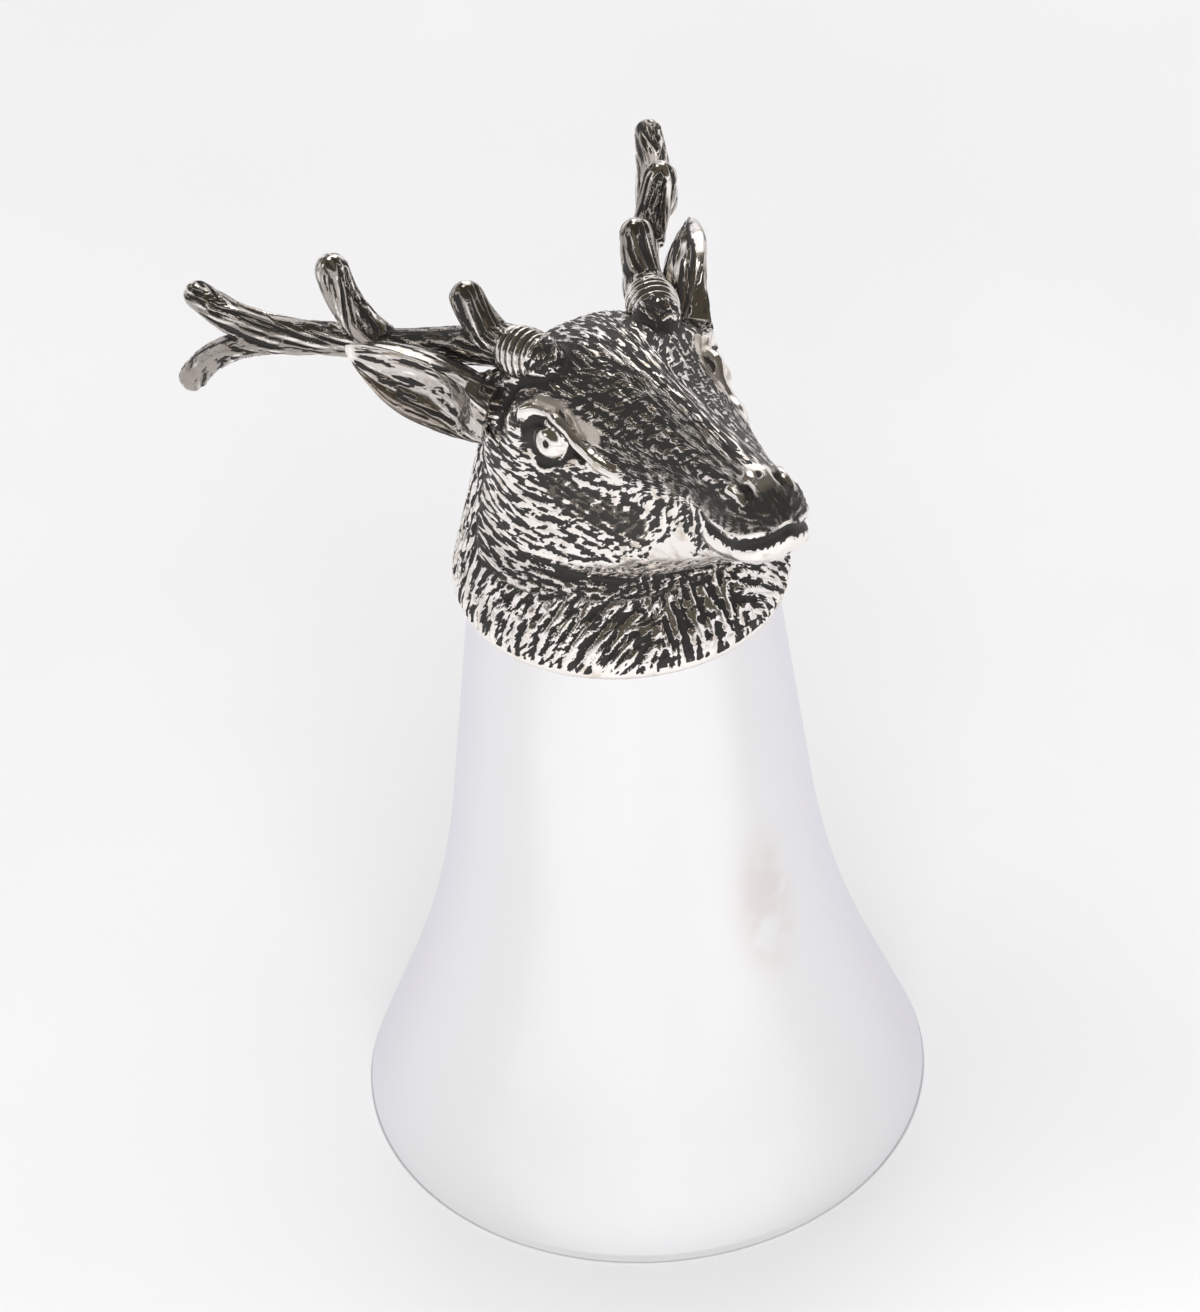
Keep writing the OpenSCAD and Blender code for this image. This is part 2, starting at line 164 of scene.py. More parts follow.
def blur(values, edges, weights, rounds):
    for _ in range(int(round(rounds))):
        values = 0.5 * values + 0.5 * neighbourMean(values, edges, weights)
    return values


def relax(mesh, rounds):  # takes the voxel steps off without shrinking the form
    co, edges = pointsOf(mesh), edgesOf(mesh)
    even = np.ones(len(edges))
    for _ in range(rounds):
        for amount in (0.55, -0.58):  # in, then back out a little further
            mean = np.stack([neighbourMean(co[:, c], edges, even) for c in range(3)], 1)
            co = co + amount * (mean - co)
    setPoints(mesh, co)


def strands(co, edges, flow, seed, across, along):  # noise drawn out along the hair
    i, j = edges.T
    step = co[j] - co[i]
    size = np.linalg.norm(step, axis=1)
    lie = unit(flow[i] + flow[j])
    aligned = np.abs((step * lie).sum(1)) / np.maximum(size, 1e-9)
    pull = aligned ** 8 + 1e-4  # only edges that lie along the hair carry it on
    even = np.ones(len(edges))
    cell = size.mean()
    v = np.random.default_rng(seed).standard_normal(len(co))
    v = blur(v, edges, even, 4 * (across / cell) ** 2)
    v = blur(v, edges, pull, 2.2 * (along / cell) ** 2)
    v = v - blur(v, edges, even, 4 * (2.6 * across / cell) ** 2)  # leaves no broad light and dark
    return v / v.std()


def near(distance, width, power=4):  # 1 on a line, and 0 well beyond its width
    return np.exp(-(distance / width) ** power)


def runOf(points):  # how far along its line each point is
    return np.concatenate([[0], np.cumsum(np.linalg.norm(np.diff(points, axis=0), axis=1))])


def placed(axes, place):  # three axes as columns, and a place in metres
    return Matrix(np.block([[axes, np.asarray(place)[:, None]], [np.array([[0, 0, 0, 1.0]])]]).tolist())


def lineNear(co, line):  # distance from every point to a drawn line
    best = np.full(len(co), 1e9)
    for a, b in zip(line[:-1], line[1:]):
        d = b - a
        k = np.clip(((co - a) @ d) / max(d @ d, 1e-9), 0, 1)
        best = np.minimum(best, np.linalg.norm(co - a - k[:, None] * d, axis=1))
    return best


def hollowness(co, edges, normal, rounds):  # above 0 in recesses, below 0 on ridges
    even = np.ones(len(edges))
    return sum((blur(co[:, c], edges, even, rounds) - co[:, c]) * normal[:, c] for c in range(3))


def store(mesh, name, values):
    values = np.ascontiguousarray(values, np.float32)
    kind, key = ("FLOAT", "value") if values.ndim == 1 else ("FLOAT_VECTOR", "vector")
    mesh.attributes.new(name, kind, "POINT").data.foreach_set(key, values.ravel())


def finishPiece(piece, node, material):
    setPoints(piece.data, np.clip(pointsOf(piece.data) * mm, cadBox[0], cadBox[1]))
    for face in piece.data.polygons:
        face.use_smooth = True
    piece.data.materials.clear()
    piece.data.materials.append(material)
    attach(piece, "root")
    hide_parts(node)
    print("made", piece.name, len(piece.data.polygons), "faces")


# finishes

castFinish = {  # colours from rubbed lands down to patina, among them a darker tone that is partly painted shade and a painted shade colour for the eye, then how fine and how rough
    "rubbed": (0.98, 0.935, 0.89), "tarnish": (0.68, 0.61, 0.52), "dull": (0.66, 0.60, 0.54),
    "shadeAndTone": (0.30, 0.27, 0.24), "eyeShade": (0.105, 0.092, 0.072), "patina": (0.042, 0.039, 0.036),
    "hairScale": 1.55, "hairWeight": 7.0, "landEdge": 0.09, "blotchScale": 420, "grainScale": 3500,
    "pitRough": 0.5, "landRough": 0.14, "bump": 0.5, "bumpDepth": 0.12,
}
# the edge colour of the polished finish is a painted reflection: a bluish cast at grazing angles
polishFinish = {
    "polished": (0.87, 0.868, 0.872), "edge": (0.88, 0.875, 0.93), "stain": (0.80, 0.765, 0.74),
    "spunScale": 60, "cloudScale": 70, "stainScale": 160, "stainFrom": 1.8, "stainTo": 6.2, "stainTall": 0.45,
    "haze": 0.05, "roughLow": 0.19, "roughHigh": 0.21, "bump": 0.008, "bumpDepth": 0.1,
}


def newMaterial(name):
    material = bpy.data.materials.new(name)
    material.use_nodes = True
    tree = material.node_tree
    tree.nodes.clear()
    out = tree.nodes.new("ShaderNodeOutputMaterial")
    shader = tree.nodes.new("ShaderNodeBsdfPrincipled")
    tree.links.new(shader.outputs["BSDF"], out.inputs["Surface"])
    return material, tree, shader


def noiseNode(tree, vector, scale, detail, roughness=0.5):
    noise = tree.nodes.new("ShaderNodeTexNoise")
    noise.inputs["Scale"].default_value = scale
    noise.inputs["Detail"].default_value = detail
    noise.inputs["Roughness"].default_value = roughness
    tree.links.new(vector, noise.inputs["Vector"])
    return noise.outputs["Fac"]


def rangeNode(tree, value, low, high, toLow, toHigh):
    node = tree.nodes.new("ShaderNodeMapRange")
    node.interpolation_type = "SMOOTHSTEP"
    tree.links.new(value, node.inputs["Value"])
    for key, number in (("From Min", low), ("From Max", high), ("To Min", toLow), ("To Max", toHigh)):
        node.inputs[key].default_value = number
    return node.outputs["Result"]


def mathNode(tree, kind, a, b):
    node = tree.nodes.new("ShaderNodeMath")
    node.operation = kind
    for socket, value in zip(node.inputs, (a, b)):
        if isinstance(value, (int, float)):
            socket.default_value = value
        else:
            tree.links.new(value, socket)
    return node.outputs["Value"]


def mixColour(tree, factor, a, b):
    node = tree.nodes.new("ShaderNodeMix")
    node.data_type = "RGBA"
    tree.links.new(factor, node.inputs["Factor"])
    for socket, value in ((node.inputs[6], a), (node.inputs[7], b)):
        if isinstance(value, tuple):
            socket.default_value = (*value, 1)
        else:
            tree.links.new(value, socket)
    return node.outputs[2]


def storedNode(tree, name, output="Fac"):
    node = tree.nodes.new("ShaderNodeAttribute")
    node.attribute_name = name
    return node.outputs[output]


def scaledNode(tree, vector, scale):
    node = tree.nodes.new("ShaderNodeMapping")
    node.inputs["Scale"].default_value = scale
    tree.links.new(vector, node.inputs["Vector"])
    return node.outputs["Vector"]


def addBump(tree, shader, height, strength, depth):
    bump = tree.nodes.new("ShaderNodeBump")
    bump.inputs["Strength"].default_value = strength
    bump.inputs["Distance"].default_value = depth * mm
    tree.links.new(height, bump.inputs["Height"])
    tree.links.new(bump.outputs["Normal"], shader.inputs["Normal"])


def castPewter():
    look = castFinish
    material, tree, shader = newMaterial("castPewter")
    place = tree.nodes.new("ShaderNodeTexCoord").outputs["Object"]
    marks = ("relief", "rough", "paintedShade", "shadeAndTone", "satin")
    relief, rough, paintedShade, shadeAndTone, satin = [storedNode(tree, name) for name in marks]

    # fine hair runs along its lie: lands are rubbed bright and pits keep their patina
    fine = noiseNode(tree, storedNode(tree, "lie", "Vector"), look["hairScale"], 2, 0.55)
    hair = mathNode(tree, "MULTIPLY", mathNode(tree, "SUBTRACT", fine, 0.5),
                    mathNode(tree, "MULTIPLY", rough, look["hairWeight"]))
    height = mathNode(tree, "ADD", relief, hair)
    land = rangeNode(tree, height, -look["landEdge"], look["landEdge"], 0, 1)
    blotch = noiseNode(tree, place, look["blotchScale"], 4)
    bright = mixColour(tree, rangeNode(tree, blotch, 0.52, 0.75, 0, 1), look["rubbed"], look["tarnish"])
    bright = mixColour(tree, satin, bright, look["dull"])
    # painted shade and a darker tone on the lands, fading on the highest ridges
    shadedAndToned = mathNode(tree, "MULTIPLY", shadeAndTone, rangeNode(tree, height, 1.2, 2.3, 1, 0))
    bright = mixColour(tree, shadedAndToned, bright, look["shadeAndTone"])
    # painted shade: where marked, the lower lands take a dark shade colour
    shadeAmount = mathNode(tree, "SUBTRACT", mathNode(tree, "MULTIPLY", paintedShade, 2.0), height)
    bright = mixColour(tree, rangeNode(tree, shadeAmount, 0.35, 0.8, 0, 0.95), bright, look["eyeShade"])
    tree.links.new(mixColour(tree, land, look["patina"], bright), shader.inputs["Base Color"])

    metal = mathNode(tree, "SUBTRACT", rangeNode(tree, land, 0, 0.3, 0.5, 1.0),
                     mathNode(tree, "MULTIPLY", satin, 0.18))
    tree.links.new(metal, shader.inputs["Metallic"])
    dulled = mathNode(tree, "MULTIPLY", satin, rangeNode(tree, blotch, 0.35, 0.65, 0.06, 0.2))
    polish = rangeNode(tree, land, 0, 1, look["pitRough"], look["landRough"])
    tree.links.new(mathNode(tree, "ADD", polish, dulled), shader.inputs["Roughness"])
    grain = noiseNode(tree, place, look["grainScale"], 2)
    worn = mathNode(tree, "ADD", rangeNode(tree, height, -0.8, 0.5, 0, 1),
                    mathNode(tree, "MULTIPLY", grain, 0.12))
    addBump(tree, shader, worn, look["bump"], look["bumpDepth"])
    return material


def polishedPewter():
    look = polishFinish
    material, tree, shader = newMaterial("polishedPewter")
    place = tree.nodes.new("ShaderNodeTexCoord").outputs["Object"]
    spun = noiseNode(tree, scaledNode(tree, place, (0.15, 0.15, 30)), look["spunScale"], 3)
    cloud = noiseNode(tree, place, look["cloudScale"], 1)

    # one tall, uneven stain
    spot = tree.nodes.new("ShaderNodeVectorMath")
    spot.operation = "DISTANCE"
    tree.links.new(scaledNode(tree, place, (1, 1, look["stainTall"])), spot.inputs[0])
    x, y, z = bell["stain"]
    spot.inputs[1].default_value = (x * mm, y * mm, look["stainTall"] * z * mm)
    around = rangeNode(tree, spot.outputs["Value"], look["stainFrom"] * mm, look["stainTo"] * mm, 1, 0)
    uneven = rangeNode(tree, noiseNode(tree, place, look["stainScale"], 3), 0.3, 0.55, 0, 1)
    stain = mathNode(tree, "MULTIPLY", around, uneven)
    haze = mathNode(tree, "MAXIMUM", stain, rangeNode(tree, cloud, 0.4, 0.8, 0, look["haze"]))
    tree.links.new(mixColour(tree, haze, look["polished"], look["stain"]), shader.inputs["Base Color"])
    # painted reflection: a bluish tint at grazing angles
    shader.inputs["Specular Tint"].default_value = (*look["edge"], 1)
    shader.inputs["Metallic"].default_value = 1
    polish = rangeNode(tree, cloud, 0.3, 0.7, look["roughLow"], look["roughHigh"])
    tree.links.new(polish, shader.inputs["Roughness"])
    addBump(tree, shader, spun, look["bump"], look["bumpDepth"])
    return material


# bell, and the two finishes

bell = {"rimD": 70, "height": 82, "endD": 34.7, "wall": 1.1, "flare": 21.4, "taper": 6.7,
        "sweepR": 128, "endRound": 1.6, "lip": 0.3, "turns": 256, "stain": (5.2, -21.6, 41)}
castLook = castPewter()
polishedLook = polishedPewter()
print("finishes ready")


def bellSide(inset):  # the side from rim to closed end, as radius and height
    flare, taper = math.radians(bell["flare"]), math.radians(bell["taper"])
    rimR, endR, top = bell["rimD"] / 2, bell["endD"] / 2, bell["height"]
    crossZ = (rimR - endR - top * math.tan(taper)) / (math.tan(flare) - math.tan(taper))
    crossR = rimR - crossZ * math.tan(flare)
    half = (flare - taper) / 2
    run = min(bell["sweepR"] * math.tan(half), 0.9 * crossZ / math.cos(flare))
    radius = run / math.tan(half)
    low = np.array([crossR + run * math.sin(flare), crossZ - run * math.cos(flare)])
    middle = low + radius * np.array([math.cos(flare), math.sin(flare)])
    start = np.array([rimR - inset / math.cos(flare), 0])
    angles = np.linspace(flare, taper, 40)
    arc = middle - (radius + inset) * np.stack([np.cos(angles), np.sin(angles)], 1)
    zc = top - bell["endRound"]
    rc = endR + bell["endRound"] * math.tan(taper) - bell["endRound"] / math.cos(taper)
    turn = np.linspace(taper, math.pi / 2, 12)
    corner = np.array([rc, zc]) + (bell["endRound"] - inset) * np.stack([np.cos(turn), np.sin(turn)], 1)
    flareLine = start + (arc[0] - start) * np.linspace(0, 1, 14)[:-1, None]
    taperLine = arc[-1] + (corner[0] - arc[-1]) * np.linspace(0, 1, 18)[1:-1, None]
    return np.concatenate([flareLine, arc, taperLine, corner])


def makeBell():
    outer, inner = bellSide(0), bellSide(bell["wall"])
    lip = bell["lip"]
    outer[0] += np.array([-0.4, 1]) * lip  # the rim's two edges are broken
    inner[0] += np.array([-0.4, 1]) * lip
    rim = np.array([[bell["rimD"] / 2 - lip * 1.1, 0.0], [inner[0, 0] + lip * 0.5, 0.0]])
    side = np.concatenate([outer[::-1], rim, inner])
    turns = bell["turns"]
    a = np.linspace(0, 2 * math.pi, turns, endpoint=False)
    rings = np.stack([np.outer(side[:, 0], np.cos(a)), np.outer(side[:, 0], np.sin(a)),
                      np.repeat(side[:, 1:2], turns, 1)], -1)
    points, faces = loft(rings)
    mesh = bpy.data.meshes.new("bellShell")
    mesh.from_pydata(points.tolist(), [], faces)
    piece = bpy.data.objects.new("bellShell", mesh)
    bpy.context.collection.objects.link(piece)
    finishPiece(piece, "cup_shell", polishedLook)


makeBell()
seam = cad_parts["solder_seam"]
seam.data.materials.clear()
seam.data.materials.append(polishedLook)


# head and ruff

head = {"length": 48, "cheek": 27, "crown": 13.4, "jaw": 14, "tilt": 15, "lift": 18.1, "back": 9.3,
        "ruffZ": 78.5, "ruffR": 19.6, "neckH": 32, "lean": 3.7, "eyeD": 4.7,
        "seatGap": 0.25, "voxel": 0.278, "hairArc": 0.0167, "hairDepth": 0.12, "ruffDepth": 0.3,
        "coatStrand": (0.18, 0.6), "maneStrand": (0.21, 1.3), "pupilWide": 0.45, "pupilDeep": 0.35}
skull = np.array([0, head["back"], head["ruffZ"] + head["lift"]])
tilt = math.radians(head["tilt"])
ahead = np.array([0, -math.cos(tilt), math.sin(tilt)])
above = np.array([0, math.sin(tilt), math.cos(tilt)])
aside = np.array([1.0, 0, 0])

# along the face: half width, crown, jaw, fullness below, roundness above, and lift
faceForm = [
    [0.00, 0.98, 0.82, 0.70, 0.46, 2.40, 0.00], [0.08, 1.01, 0.93, 0.81, 0.48, 2.40, 0.00],
    [0.16, 1.01, 0.98, 0.90, 0.46, 2.40, 0.00], [0.24, 0.97, 1.00, 0.96, 0.42, 2.40, 0.01],
    [0.32, 0.88, 0.97, 1.00, 0.32, 2.20, 0.05], [0.40, 0.79, 0.90, 0.98, 0.16, 1.80, 0.14],
    [0.50, 0.67, 0.80, 0.86, 0.04, 1.45, 0.20], [0.62, 0.53, 0.69, 0.70, 0.00, 1.40, 0.17],
    [0.74, 0.41, 0.57, 0.53, 0.00, 1.50, 0.14], [0.86, 0.34, 0.45, 0.39, 0.00, 1.90, 0.08],
    [1.00, 0.31, 0.30, 0.33, 0.00, 2.20, 0.00]]
# brow, eye socket, cheek and lip: along, across, up, spread and height
faceRelief = [
    [0.27, 0.94, 0.58, 0.190, 0.200], [0.36, 0.90, 0.32, 0.164, -0.070],
    [0.20, 1.04, -0.20, 0.336, 0.045], [0.91, 0.34, 0.04, 0.179, 0.037]]
# up the neck: radius, and how far it leans back
neckForm = [
    [0.00, 0.985, 0.00], [0.06, 1.000, 0.00], [0.14, 0.960, 0.14], [0.23, 0.890, 0.42], [0.36, 0.805, 0.72],
    [0.52, 0.720, 0.94], [0.64, 0.660, 1.00], [0.80, 0.470, 0.83], [0.92, 0.275, 0.83], [1.00, 0.100, 0.83]]


def onHead(along, across, up):
    side = across * head["cheek"] / 2 * aside
    return skull + along * head["length"] * ahead + side + up * head["crown"] * above


def closing(f):  # rounds off the nose and the back of the skull
    nose = np.sqrt(np.clip(1 - np.clip((f - 0.89) / 0.11, 0, 1) ** 2, 0, 1))
    back = np.clip(1 - np.clip(1 - f / 0.10, 0, 1) ** 2.5, 0, 1) ** 0.4
    return nose * back


def swelling(p):  # what stands out from the plain face
    q = np.abs(p * [1, 0, 0]) + p * [0, 1, 1]
    total = np.zeros(q.shape[:-1])
    for along, across, up, spread, height in faceRelief:
        d = np.linalg.norm(q - onHead(along, across, up), axis=-1)
        total += height * head["crown"] * np.exp(-(d / (spread * head["crown"])) ** 2 / 2)
    return total


def faceParts(f, up):  # half height, half width, fullness and roundness of a section, and its lift
    lift = head["crown"] * curveAt(faceForm, 6, f)
    crown = head["crown"] * curveAt(faceForm, 2, f) - lift
    jaw = head["jaw"] * curveAt(faceForm, 3, f) + lift
    h = closing(f) * np.where(up, crown, jaw)
    w = closing(f) * head["cheek"] / 2 * curveAt(faceForm, 1, f)
    full = np.where(up, 0.16, curveAt(faceForm, 4, f))
    power = np.where(up, curveAt(faceForm, 5, f), 3.2)
    return h, w, full, power, closing(f) * lift


def facePoint(f, a):
    f, a = np.broadcast_arrays(np.asarray(f, float), np.asarray(a, float))
    h, w, full, power, lift = faceParts(f, np.sin(a) >= 0)
    v = np.sign(np.sin(a)) * np.abs(np.sin(a)) ** (2 / power)
    across = w * (1 - full * v * np.abs(v)) * np.sign(np.cos(a)) * np.abs(np.cos(a)) ** (2 / power)
    out = across[..., None] * aside + (h * v)[..., None] * above
    p = skull + (f * head["length"])[..., None] * ahead + lift[..., None] * above + out
    return p + unit(out) * swelling(p)[..., None]


def onFace(co):  # 1 on the face's own skin, larger outside it
    q = co - skull
    f = np.clip(q @ ahead / head["length"], 0.003, 0.997)
    u = q @ above - faceParts(f, True)[4]
    h, w, full, power, lift = faceParts(f, u >= 0)
    v = u / h
    w = w * np.maximum(1 - full * v * np.abs(v), 0.2)
    return (np.abs(q[:, 0] / w) ** power + np.abs(v) ** power) ** (1 / power)


def faceShell():
    t = np.linspace(0.01, 0.985, 150)
    f = (1 - np.cos(math.pi * t)) / 2
    a = np.linspace(0, 2 * math.pi, 160, endpoint=False)
    return loft(facePoint(f[:, None], a[None]))


def neckShell():
    t = np.linspace(0, 1, 80)
    a = np.linspace(0, 2 * math.pi, 180, endpoint=False)
    r = head["ruffR"] * curveAt(neckForm, 1, t)
    y = head["lean"] * curveAt(neckForm, 2, t)
    z = head["ruffZ"] + head["neckH"] * t
    seatR = bell["endD"] / 2 - head["seatGap"]  # the seat's faces end inside the bell's wall
    seatZ = bell["height"] - bell["wall"] / 2
    r = np.concatenate([[0.1, seatR, seatR], r])
    y = np.concatenate([[0, 0, 0], y])
    z = np.concatenate([[seatZ, seatZ, head["ruffZ"]], z])
    return loft(np.stack([np.outer(r, np.cos(a)), y[:, None] + np.outer(r, np.sin(a)),
                          np.repeat(z[:, None], len(a), 1)], -1))


def flattenSeat(mesh):  # the hidden seat is one flat face
    shape = bmesh.new()
    shape.from_mesh(mesh)
    low, high = bell["height"] - bell["wall"], bell["height"]
    under = [f for f in shape.faces if f.normal.z < -0.99]
    hidden = [f for f in under if low < f.calc_center_median().z < high]
    bmesh.ops.dissolve_faces(shape, faces=hidden, use_verts=True)
    shape.to_mesh(mesh)
    shape.free()


# the photo's camera, as it was solved: its place before the cup, its angles and its picture
view = {"back": 440, "height": 426.2724, "pitch": 0.685508, "yaw": 0.006975, "roll": -0.0560050, "turn": 29,
        "sensor": 36, "focalPixels": 4835.547, "photoWide": 1200, "photoPixels": 1312}


def viewAxes():  # the camera's place, and its right, up and back
    p, y, r, t = view["pitch"], view["yaw"], view["roll"], math.radians(view["turn"])
    forward = np.array([-math.sin(y) * math.cos(p), math.cos(y) * math.cos(p), -math.sin(p)])
    right = np.array([math.cos(y), math.sin(y), 0])
    up = np.cross(right, forward)
    right, up = math.cos(r) * right + math.sin(r) * up, -math.sin(r) * right + math.cos(r) * up
    turn = np.array([[math.cos(t), math.sin(t), 0], [-math.sin(t), math.cos(t), 0], [0, 0, 1]])
    return turn @ [0, -view["back"], view["height"]], turn @ np.stack([right, up, -forward], 1)


def solidTree(node):  # a node's solid, for rays to meet
    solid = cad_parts[node]
    points = [solid.matrix_world @ v.co / mm for v in solid.data.vertices]
    return BVHTree.FromPolygons(points, [tuple(face.vertices) for face in solid.data.polygons])


headSolid = solidTree("head_casting")

# lines drawn on one side of the face, for both. A point of two numbers is a pixel of the photo,
# and a point of three is a place on the head: along, across and up
faceLines = {
    "upperLid": [(508, 420), (518, 412), (534, 408), (548, 413), (558, 423), (572, 438), (586, 452),
                 (600, 464), (614, 473)],
    "lidGap": [(524, 428), (536, 423), (550, 428), (560, 438), (572, 450), (582, 460)],
    "lowerLid": [(530, 450), (538, 466), (550, 470), (562, 466), (576, 460)],
    "browRidge": [(536, 398), (556, 390), (574, 396), (588, 408), (600, 426)],
    "browPatch": [(0.300, 0.765, 0.665), (0.340, 0.690, 0.610), (0.380, 0.660, 0.545), (0.415, 0.630, 0.490),
                  (0.450, 0.600, 0.440)],
    "browFold": [(569.8, 413.7), (575, 423), (581, 433), (586, 442)],
    "browCrease": [(560, 413), (566, 422), (573, 432), (580, 441)],
    "crest": [(600, 466), (630, 482), (660, 488), (680, 496), (700, 506), (714, 514)],
    "mouth": [(708, 526), (720, 536), (736, 543), (760, 540), (0.999, 0.000, -0.010)],
    "upperLip": [(0.840, 0.366, 0.030), (720, 527), (750, 536), (0.997, 0.000, 0.060)],
    "lowerLip": [(0.800, 0.340, -0.190), (0.832, 0.310, -0.250), (0.900, 0.288, -0.240),
                 (0.950, 0.225, -0.215), (0.983, 0.000, -0.170)],
    "muzzle": [(706, 497), (715, 508), (728, 517), (742, 521), (758, 518), (770, 512)],
    "nostril": [(744, 487), (749, 492), (750, 497)],
    "wing": [(728, 490), (0.905, 0.225, 0.280), (0.928, 0.215, 0.225)],
    "nosePad": [(0.885, 0.000, 0.420), (0.905, 0.100, 0.375), (0.925, 0.110, 0.300), (0.930, 0.000, 0.345)],
    "noseFront": [(0.952, 0.000, 0.280), (0.957, 0.120, 0.250), (0.975, 0.120, 0.160), (0.985, 0.000, 0.160)],
    "tearHollow": [(0.350, 0.850, -0.050), (0.430, 0.750, -0.160), (0.500, 0.660, -0.220),
                   (0.560, 0.590, -0.240)],
    "chin": [(660, 556), (0.652, 0.420, -0.430), (0.700, 0.420, -0.250)],
}
faceDrop = {"mouth": (0.010, 0.024, 0.028, 0.033, 0)}  # how far below its points a line lies
faceDigits = 3  # places on the face are kept to a thousandth of the head
faceCut = {  # width of each line's edge, and how far it is raised or cut
    "lidGap": (0.45, -0.45), "crest": (1.2, 0.3), "browRidge": (1.0, 0.12), "browFold": (0.3, 0.12),
    "browCrease": (0.25, -0.14), "mouth": (0.50, -0.55), "upperLip": (0.35, 0.2), "lowerLip": (0.8, 0.3),
    "nostril": (0.55, -0.9), "wing": (0.45, 0.35),
}
faceBare = {  # how far to each side of a line there is no hair
    "upperLid": 0.95, "browPatch": 1.05, "upperLip": 0.3, "lowerLip": 0.95, "mouth": 0.8, "wing": 0.45,
}
faceThin = {  # where hair is sparse: how bare, how wide, and how sharply it ends
    "chin": (0.6, 1.4, 4), "lowerLid": (0.7, 0.42, 4), "nosePad": (0.9, 0.9, 2),
}
faceShade = {"tearHollow": (0.2, 3.0), "noseFront": (0.3, 1.2), "muzzle": (0.3, 1.3)}  # how dark, how wide
faceDark = {"lidGap": 0.4, "mouth": 0.68, "nostril": 0.5, "browCrease": 0.2}  # width that stays black
burrAt, burrWay, burrSpan = onHead(0.17, 0.615, 0.92), unit([0.31, 0.94, -0.14]), 5
earAt, earWay = onHead(0.115, 0.86, 0.49), unit([0.58, 0.78, 0.18])
eyeAt, eyeWay = onHead(0.330, 0.750, 0.355), unit([0.86, -0.42, 0.28])


def fromPhoto(across, down):  # the place on the head's solid that a pixel of the photo shows
    place, axes = viewAxes()
    pixel = [across - view["photoWide"] / 2, view["photoPixels"] / 2 - down, -view["focalPixels"]]
    spot = np.array(headSolid.ray_cast(place, axes @ unit(pixel))[0]) - skull
    return spot @ ahead / head["length"], -spot @ aside / (head["cheek"] / 2), spot @ above / head["crown"]


def facePlaces(name):
    rows = np.array([fromPhoto(*point) if len(point) == 2 else point for point in faceLines[name]])
    rows[:, 2] -= faceDrop.get(name, 0)
    return np.round(rows, faceDigits)


def drawn(name, count=60):  # a smooth line through the points of a face line
    rows = np.array([onHead(*row) for row in facePlaces(name)])
    table = np.column_stack([runOf(rows), rows])
    at = np.linspace(0, table[-1, 0], count)
    return np.stack([curveAt(table, k + 1, at) for k in range(3)], 1)


def limb(points, radii, sides=40):  # a round bar along a line, with a domed tip
    way = unit(np.gradient(points, axis=0))
    tip = np.radians([15, 30, 45, 60, 72, 84])
    points = np.concatenate([points, points[-1] + radii[-1] * np.sin(tip)[:, None] * way[-1]])
    radii = np.concatenate([radii, radii[-1] * np.cos(tip)])
    way = np.concatenate([way, np.repeat(way[-1:], len(tip), 0)])
    u = unit(np.cross(way, aside))
    v = np.cross(u, way)
    a = np.linspace(0, 2 * math.pi, sides, endpoint=False)
    ring = np.cos(a)[None, :, None] * u[:, None] + np.sin(a)[None, :, None] * v[:, None]
    return loft(points[:, None] + radii[:, None, None] * ring), points, way


def bar(a, b, ra, rb):
    k = np.linspace(0, 1, 12)[:, None]
    return limb(a + k * (b - a), ra + (rb - ra) * k[:, 0])[0]


def rope(name, radius):  # a raised cord along a face line, thin at both ends
    k = np.linspace(-1, 1, 60)
    return limb(drawn(name), radius * (1 - 0.55 * k ** 4), 20)[0]


def hairLie(co):  # the way the face's hair runs, and places that stretch along it
    q = co - skull
    s, u, x = q @ ahead, q @ above, co[:, 0]
    f = np.clip(s / head["length"], 0.003, 0.997)
    h, w, full, power, lift = faceParts(f, u - faceParts(f, True)[4] >= 0)
    low = smooth(0.5, -0.1, (u - lift) / h)  # 1 on the cheeks, 0 on the forehead and bridge
    off = (1 - low) * smooth(0.4, 3.0, np.abs(x)) * (0.45 + 0.4 * smooth(0.3, 0.6, f))
    arc = head["hairArc"]
    rise = low * 2 * arc * (s - 12)
    way = ahead + rise[:, None] * above - (off * np.sign(x))[:, None] * aside
    lie = np.stack([x + np.sign(x) * off * s, u - low * arc * (s - 12) ** 2, s / 3.6], 1)
    return -way, lie


def ruffLie(co):  # the same for neck and ruff, where hair fans out to the front
    x, y, z = co.T
    fan = 0.5 * smooth(10, -8, y) * np.clip(x / 8, -1, 1) * smooth(101, 84, z)
    turn = fan * (z - 90) / 12
    lie = np.stack([x * np.cos(turn) - y * np.sin(turn), x * np.sin(turn) + y * np.cos(turn), z / 5], 1)
    r = np.maximum(np.hypot(x, y), 1)
    way = np.stack([-y / r * fan, x / r * fan, -np.ones(len(co))], 1)
    return way, lie


def headShells():
    foot = burrAt - burrSpan / 2 * burrWay
    flesh = [ball(eyeAt, head["eyeD"] / 2), bar(onHead(0.25, 0.45, 0.70), foot, 2.1, 2.7),
             bar(onHead(0.16, 0.70, 0.50), earAt - 0.8 * earWay, 3.6, 2.8),
             bar(foot - [0.0, 0.6, 1.6], earAt + [0.6, 1.8, 1.8], 2.2, 1.6),
             rope("upperLid", 0.75), rope("lowerLid", 0.34)]
    shells = [neckShell(), faceShell()]
    for shell in flesh:
        shells += [shell, mirrored(shell)]
    return shells


def carving(lines, pupil, f):  # ridges out, gaps in
    move = np.zeros(len(f))
    for name, (width, height) in faceCut.items():
        tip = 1 - smooth(0.94, 0.985, f) if height > 0 else 1  # ridges die away at the nose's tip
        move += tip * height * near(lines[name], width, 2)
    return move - head["pupilDeep"] * near(pupil, head["pupilWide"])


